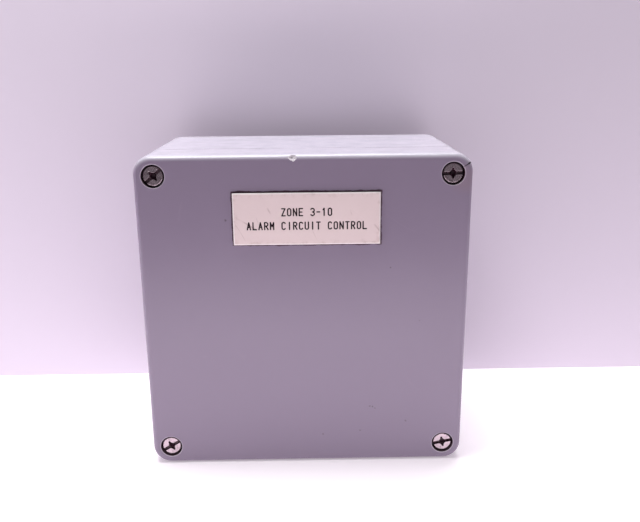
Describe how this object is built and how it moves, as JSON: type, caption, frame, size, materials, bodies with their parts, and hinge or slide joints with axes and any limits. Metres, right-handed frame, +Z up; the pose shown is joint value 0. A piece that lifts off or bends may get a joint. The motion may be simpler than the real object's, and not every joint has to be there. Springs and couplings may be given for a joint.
{
  "type": "fire detection line isolator box",
  "caption": "Square grey moulded wall box with a screwed lid and engraved nameplate, holding a short-circuit isolator and rail terminals for a fire detection line.",
  "frame": {"origin": "middle of the four wall fixings, on the box's back face", "axes": "+Y into the wall, so the lid faces -Y; +Z up, the cable entries face -Z; +X to the right as seen from the front"},
  "size_m": [0.16, 0.0917, 0.16],
  "materials": {
    "grey_polyester": "moulded glass-fibre polyester, satin",
    "foam_seal": "foamed rubber",
    "stainless": "turned stainless steel",
    "nylon_black": "black nylon",
    "engraved_white": "engraving laminate, satin white",
    "enamel_fill": "dark enamel",
    "adhesive": "adhesive sheet",
    "brass": "machined brass",
    "zinc_steel": "zinc-plated steel",
    "terminal_grey": "polyamide",
    "terminal_earth": "green and yellow polyamide",
    "marker_white": "printed tag blank",
    "module_black": "moulded tray",
    "circuit_green": "solder mask over glass epoxy",
    "block_green": "moulded terminal block",
    "relay_blue": "moulded relay case",
    "capacitor_sleeve": "sleeved aluminium can",
    "arrester_blue": "epoxy-dipped disc",
    "chip_black": "moulded epoxy",
    "lamp_yellow": "tinted epoxy lens",
    "wire_red": "insulated wire",
    "wire_black": "insulated wire",
    "wire_green_yellow": "insulated wire",
    "tinned_copper": "tinned copper"
  },
  "bodies": {
    "base": {"base": "grey_polyester", "lid_inserts": "brass", "mounting_plate": "zinc_steel", "plate_screws": "zinc_steel", "din_rail": "zinc_steel", "rail_screws": "zinc_steel", "terminal_bodies": "terminal_grey", "terminal_bars": "tinned_copper", "terminal_screws": "zinc_steel", "terminal_markers": "marker_white", "terminal_end_plate": "terminal_grey", "earth_terminal": "terminal_earth", "end_stops": "terminal_grey", "end_stop_screws": "zinc_steel", "isolator_tray": "module_black", "tray_screws": "zinc_steel", "isolator_board": "circuit_green", "board_screws": "zinc_steel", "line_terminals": "block_green", "line_terminal_screws": "zinc_steel", "isolator_relay": "relay_blue", "smoothing_capacitors": "capacitor_sleeve", "surge_arresters": "arrester_blue", "switch_chips": "chip_black", "status_lamp": "lamp_yellow", "wire_ferrules": "tinned_copper", "bonding_plate": "brass", "bonding_screws": "brass", "earth_stud": "brass", "earth_nuts": "brass", "earth_washers": "brass", "earth_lug": "tinned_copper", "earth_wire": "wire_green_yellow", "link_wires_red": "wire_red", "link_wires_black": "wire_black", "link_wires_screen": "wire_green_yellow"},
    "lid": {"lid": "grey_polyester", "lid_gasket": "foam_seal", "screw_retainers": "nylon_black", "nameplate": "engraved_white", "nameplate_fill": "enamel_fill", "nameplate_adhesive": "adhesive"},
    "washer_top_left": {"screw_washer_top_left": "nylon_black"},
    "screw_top_left": {"lid_screw_top_left": "stainless"},
    "washer_top_right": {"screw_washer_top_right": "nylon_black"},
    "screw_top_right": {"lid_screw_top_right": "stainless"},
    "washer_bottom_left": {"screw_washer_bottom_left": "nylon_black"},
    "screw_bottom_left": {"lid_screw_bottom_left": "stainless"},
    "washer_bottom_right": {"screw_washer_bottom_right": "nylon_black"},
    "screw_bottom_right": {"lid_screw_bottom_right": "stainless"}
  },
  "joints": [
    {"name": "lid_lift", "type": "slide", "parent": "base", "child": "lid", "axis": [0, -1, 0], "range_m": [0, 0.12]},
    {"name": "screw_rise_top_left", "type": "slide", "parent": "lid", "child": "washer_top_left", "axis": [0, -1, 0], "range_m": [0, 0.008]},
    {"name": "screw_turn_top_left", "type": "hinge", "parent": "washer_top_left", "child": "screw_top_left", "pos_m": [-0.0705, -0.09, 0.0705], "axis": [0, -1, 0], "range_deg": [0, 2880]},
    {"name": "screw_rise_top_right", "type": "slide", "parent": "lid", "child": "washer_top_right", "axis": [0, -1, 0], "range_m": [0, 0.008]},
    {"name": "screw_turn_top_right", "type": "hinge", "parent": "washer_top_right", "child": "screw_top_right", "pos_m": [0.0705, -0.09, 0.0705], "axis": [0, -1, 0], "range_deg": [0, 2880]},
    {"name": "screw_rise_bottom_left", "type": "slide", "parent": "lid", "child": "washer_bottom_left", "axis": [0, -1, 0], "range_m": [0, 0.008]},
    {"name": "screw_turn_bottom_left", "type": "hinge", "parent": "washer_bottom_left", "child": "screw_bottom_left", "pos_m": [-0.0705, -0.09, -0.0705], "axis": [0, -1, 0], "range_deg": [0, 2880]},
    {"name": "screw_rise_bottom_right", "type": "slide", "parent": "lid", "child": "washer_bottom_right", "axis": [0, -1, 0], "range_m": [0, 0.008]},
    {"name": "screw_turn_bottom_right", "type": "hinge", "parent": "washer_bottom_right", "child": "screw_bottom_right", "pos_m": [0.0705, -0.09, -0.0705], "axis": [0, -1, 0], "range_deg": [0, 2880]}
  ],
  "couplings": [
    {"joint": "screw_turn_top_left", "follows": "screw_rise_top_left", "rad_per_m": 6283.2},
    {"joint": "screw_turn_top_right", "follows": "screw_rise_top_right", "rad_per_m": 6283.2},
    {"joint": "screw_turn_bottom_left", "follows": "screw_rise_bottom_left", "rad_per_m": 6283.2},
    {"joint": "screw_turn_bottom_right", "follows": "screw_rise_bottom_right", "rad_per_m": 6283.2}
  ]
}
